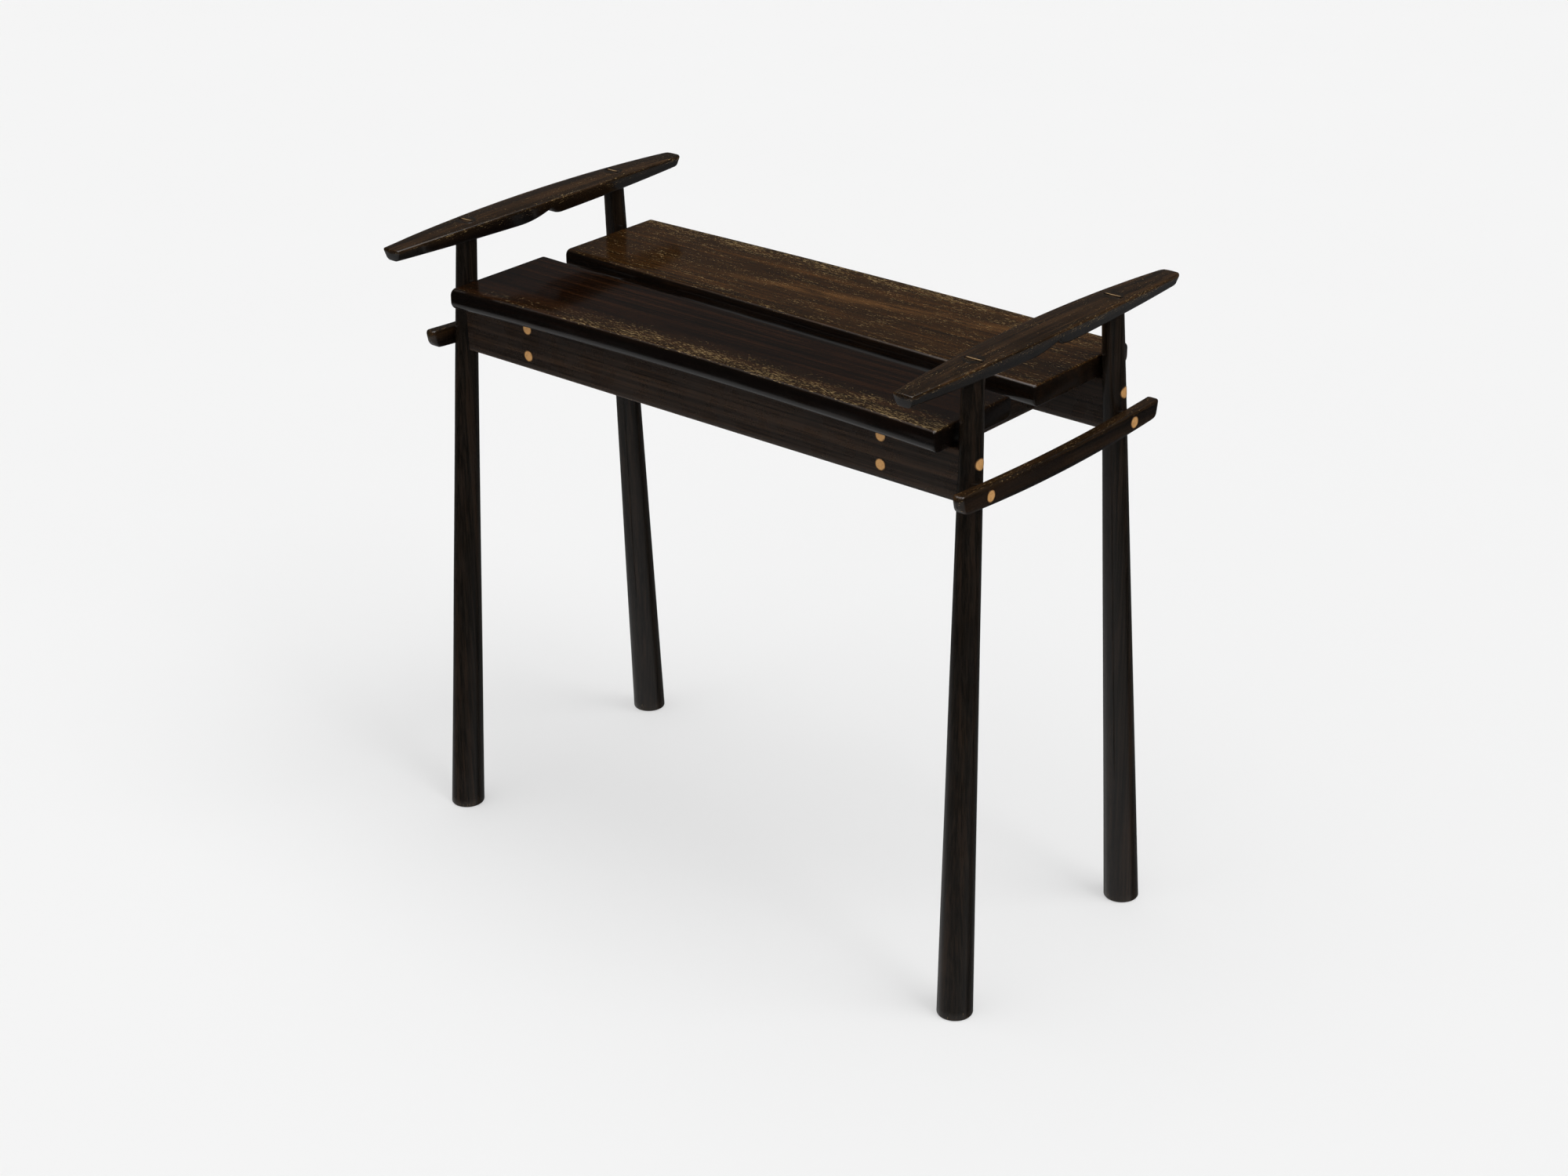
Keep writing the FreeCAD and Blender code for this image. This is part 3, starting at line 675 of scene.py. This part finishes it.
def stretcher(hand, side, seed):
    """A flat bar that curves up to its rounded, slanting tips."""
    low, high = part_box("stretcher_" + hand)
    shift = (low[1] + high[1]) / 2 / MM
    half = (high[1] - low[1]) / 2 / MM
    rings = []
    for y in stations(-half, half, 2.8, STRETCHER_ENDS):
        gone = half - abs(y)
        top = bow(y, half, *STRETCHER_TOP) - rounding(gone, 3.4)
        under = bow(y, half, *STRETCHER_UNDER) + rounding(gone, 5.2)
        tuck = rounding(gone, 3.0)
        soft = 1.8 + 0.15 * tuck
        ring = rounded_ring(
            [(STRETCHER_BACK + tuck, under), (STRETCHER_BACK + tuck, top),
             (STRETCHER_FACE - tuck, top), (STRETCHER_FACE - tuck, under)],
            [soft] * 4, 5, [5, 3, 5, 3])
        points = []
        for x, z in ring:
            slant = (top - z) / 14 * 3.0 * smooth(12, 0, gone) * math.copysign(1, y)
            dent = 0.12 * max(0.0, noise.noise(Vector((x / 6, y / 18, z / 7 + seed))))
            points.append((side * (x - dent), y - slant + shift, z - dent * (z > DENTED_ABOVE)))
        rings.append(points)
    material = lacquered("lacquer_stretcher_" + hand, "Y", seed, RAIL, gold=0.8, gloss=0.2)

    def wear(p):
        y = p.y - shift
        along_top = 0.5 * smooth(2.2, 0.6, bow(y, half, *STRETCHER_TOP) - p.z)
        return max(along_top, 0.6 * smooth(4, 0.4, half - abs(y)))

    # Painted shade: the faces below the top edge are darkened, three quarters of the way to near
    # black.
    def edge_shade(p):
        return 0.75 * smooth(1.0, 3.5, bow(p.y - shift, half, *STRETCHER_TOP) - p.z)

    loft("stretcher_%s_shaped" % hand, rings, material, "stretcher_" + hand,
         wear, edge_shade)


for hand, side in HANDS:
    stretcher(hand, side, 21.0 + side)


# ---------------------------------------------------------------- aprons and battens

BOARD_SOFT, BOARD_CRISP = 1.1, 0.3


def board(name, node, axis, seed):
    """A straight board along X or Y with softened lower edges."""
    low, high = (Vector(c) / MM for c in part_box(node))
    lengthwise = 0 if axis == "X" else 1
    across = 1 - lengthwise
    rings = []
    for place in stations(low[lengthwise], high[lengthwise], 5.0, [0, 0.5]):
        ring = rounded_ring(
            [(low[across], low.z), (low[across], high.z),
             (high[across], high.z), (high[across], low.z)],
            [BOARD_SOFT, BOARD_CRISP, BOARD_CRISP, BOARD_SOFT], 4, [9, 2, 9, 2])
        points = []
        for u, z in ring:
            middle = (low[across] + high[across]) / 2
            dent = 0.09 * max(0.0, noise.noise(Vector((place / 25 + seed, u, z / 12))))
            u -= math.copysign(dent, u - middle)
            spot = [0, 0, z]
            spot[lengthwise], spot[across] = place, u
            points.append(spot)
        rings.append(points)

    def wear(p):
        return 0.35 * smooth(2.0, 0.4, p.z - low.z)

    material = lacquered("lacquer_" + name, axis, seed, FRAME, gold=0.5, gloss=0.26)
    loft(name, rings, material, node, wear)


for number, row in enumerate(("front", "back")):
    board("apron_%s_board" % row, "apron_" + row, "X", 31.0 + number)
for number, hand in enumerate(("left", "right")):
    board("batten_%s_board" % hand, "batten_" + hand, "Y", 41.0 + number)


# ---------------------------------------------------------------- pegs, wedges, dowels

PEG_AXES = {"apron_peg": "Y", "leg_peg": "X", "stretcher_peg": "X", "seat_dowel": "Z"}
WEDGE_REACH_LEFT, WEDGE_REACH_RIGHT = 5.2, 6.6

for name in sorted(frame["nodes"]):
    low, high = (Vector(c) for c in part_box(name))
    middle = (low + high) / 2
    seed = middle.x * 7 + middle.y * 13 + middle.z * 29
    for kind, axis in PEG_AXES.items():
        if name.startswith(kind):
            paint(name, end_grain("grain_" + name, middle, axis, seed))
    if name.startswith("leg_wedge"):
        reach = WEDGE_REACH_RIGHT if middle.x > 0 else WEDGE_REACH_LEFT
        paint(name, wedge_line("pale_" + name, middle, reach, seed))


# ---------------------------------------------------------------- floor and wall

# The floor is lit from below as well, so its shadows stay faint.
REACH = 30.0
FLOOR_GLOW, WALL_GLOW = 0.45, 0.905
floor_mesh = bpy.data.meshes.new("floor")
floor_mesh.from_pydata([(-REACH, -REACH, 0), (REACH, -REACH, 0), (REACH, REACH, 0),
                        (-REACH, REACH, 0)], [], [(0, 1, 2, 3)])
floor = bpy.data.objects.new("floor", floor_mesh)
scene.collection.objects.link(floor)
paper = Graph("floor_paper")
speck = paper.noise(paper.mapped((3, 3, 3)), 1.0, 2)
paper.put(paper.shader.inputs["Base Color"],
          paper.mix(speck, colour(180, 180, 180), colour(182, 182, 182)))
paper.put(paper.shader.inputs["Emission Color"], WHITE)
paper.put(paper.shader.inputs["Emission Strength"], FLOOR_GLOW)
paper.put(paper.shader.inputs["Roughness"], 0.9)
paper.put(paper.shader.inputs["Specular IOR Level"], 0.0)
floor_mesh.materials.append(paper.material)
floor.visible_glossy = False

# A round white wall carries the floor's tone up behind the stool from any side.
WALL_SIDES = 48
WALL_RADIUS = 0.9 * REACH
wall_mesh = bpy.data.meshes.new("wall")
wall_points = []
for height in (0.0, REACH):
    for i in range(WALL_SIDES):
        angle = math.tau * i / WALL_SIDES
        wall_points.append((WALL_RADIUS * math.cos(angle), WALL_RADIUS * math.sin(angle), height))
wall_mesh.from_pydata(wall_points, [], [
    (i, (i + 1) % WALL_SIDES, (i + 1) % WALL_SIDES + WALL_SIDES, i + WALL_SIDES)
    for i in range(WALL_SIDES)])
wall = bpy.data.objects.new("wall", wall_mesh)
scene.collection.objects.link(wall)
sheet = Graph("wall_paper")
sheet.put(sheet.shader.inputs["Base Color"], BLACK)
sheet.put(sheet.shader.inputs["Specular IOR Level"], 0.0)
sheet.put(sheet.shader.inputs["Emission Color"], WHITE)
sheet.put(sheet.shader.inputs["Emission Strength"], WALL_GLOW)
wall_mesh.materials.append(sheet.material)
wall.visible_diffuse = False
wall.visible_glossy = False
wall.visible_shadow = False


# ---------------------------------------------------------------- world and lights

world = bpy.data.worlds.new("studio")
world.use_nodes = True
scene.world = world
sky = world.node_tree
background = sky.nodes["Background"]
# The camera's direction and tilt; the world's bright side is opposite the camera.
AZIMUTH, ELEVATION, ROLL = (math.radians(v) for v in (40.90, 25.10, -0.912))
BACKDROP, OVERHEAD, UNDERFOOT, DIM = 0.037, 0.6, 0.3, 0.006

direction = sky.nodes.new("ShaderNodeTexCoord").outputs["Generated"]
split = sky.nodes.new("ShaderNodeSeparateXYZ")
sky.links.new(direction, split.inputs[0])


def sky_math(operation, a, b):
    node = sky.nodes.new("ShaderNodeMath")
    node.operation = operation
    for socket, value in zip(node.inputs, (a, b)):
        if isinstance(value, bpy.types.NodeSocket):
            sky.links.new(value, socket)
        else:
            socket.default_value = value
    return node.outputs[0]


def sky_step(value, low, high, to_low, to_high):
    node = sky.nodes.new("ShaderNodeMapRange")
    node.interpolation_type = "SMOOTHSTEP"
    sky.links.new(value, node.inputs["Value"])
    for key, number in (("From Min", low), ("From Max", high),
                        ("To Min", to_low), ("To Max", to_high)):
        node.inputs[key].default_value = number
    return node.outputs["Result"]


# A white backdrop behind the stool, a glow overhead and a dim room in front.
away = sky_math("ADD",
                sky_math("MULTIPLY", split.outputs["X"], -math.sin(AZIMUTH)),
                sky_math("MULTIPLY", split.outputs["Y"], math.cos(AZIMUTH)))
backdrop = sky_step(away, 0.05, 0.45, 0.0, BACKDROP)
overhead = sky_step(split.outputs["Z"], 0.7, 0.84, 0.0, OVERHEAD)
# What the gloss sees below the horizon: a dark room, and the lit paper near by.
below = sky_step(split.outputs["Z"], -0.56, -0.34, UNDERFOOT, 0.0)
below = sky_math("MULTIPLY", below, sky_step(split.outputs["Y"], 0.1, 0.5, 1.0, 0.15))
glow = sky_math("ADD", sky_math("MAXIMUM", backdrop, overhead), DIM)
glow = sky_math("ADD", glow, below)
sky.links.new(glow, background.inputs["Strength"])
background.inputs["Color"].default_value = WHITE


def sun(name, energy, source, spread, gloss):
    """A soft sun that shines from source.  gloss "none" leaves it out of
    reflections, and "only" keeps it to them."""
    data = bpy.data.lights.new(name, "SUN")
    data.energy = energy
    data.angle = math.radians(spread)
    light = bpy.data.objects.new(name, data)
    light.location = source
    light.rotation_euler = (-Vector(source)).to_track_quat("-Z", "Y").to_euler()
    light.visible_glossy = gloss != "none"
    light.visible_diffuse = gloss != "only"
    scene.collection.objects.link(light)


sun("key", 0.85, (2.0, 0.5, 3.4), 34, "both")
sun("contact", 0.25, (2.6, -0.5, 2.2), 14, "none")
sun("fill_front", 1.1, (1.3, -2.2, 2.9), 110, "none")
sun("fill_left", 0.75, (-1.8, -1.0, 3.2), 120, "none")
sun("strip", 1.4, (0.0, 0.0, 3.0), 72, "only")


# ---------------------------------------------------------------- camera

CAMERA_DISTANCE, CAMERA_ACROSS, CAMERA_RISE = 2225.9, -1.39, 196.49
camera_data = bpy.data.cameras.new("camera")
camera_data.sensor_width = 36.0
camera_data.lens = 66.75
camera_data.clip_end = 200
camera = bpy.data.objects.new("camera", camera_data)
scene.collection.objects.link(camera)
back = Vector((math.sin(AZIMUTH) * math.cos(ELEVATION),
               -math.cos(AZIMUTH) * math.cos(ELEVATION), math.sin(ELEVATION)))
right = (-back).cross(Vector((0, 0, 1))).normalized()
up = right.cross(-back)
turned_right = right * math.cos(ROLL) + up * math.sin(ROLL)
turned_up = up * math.cos(ROLL) - right * math.sin(ROLL)
spot = (back * CAMERA_DISTANCE + turned_right * CAMERA_ACROSS + turned_up * CAMERA_RISE) * MM
camera.matrix_world = Matrix.Translation(spot) @ Matrix(
    (turned_right, turned_up, back)).transposed().to_4x4()
scene.camera = camera
scene.view_settings.view_transform = "Standard"
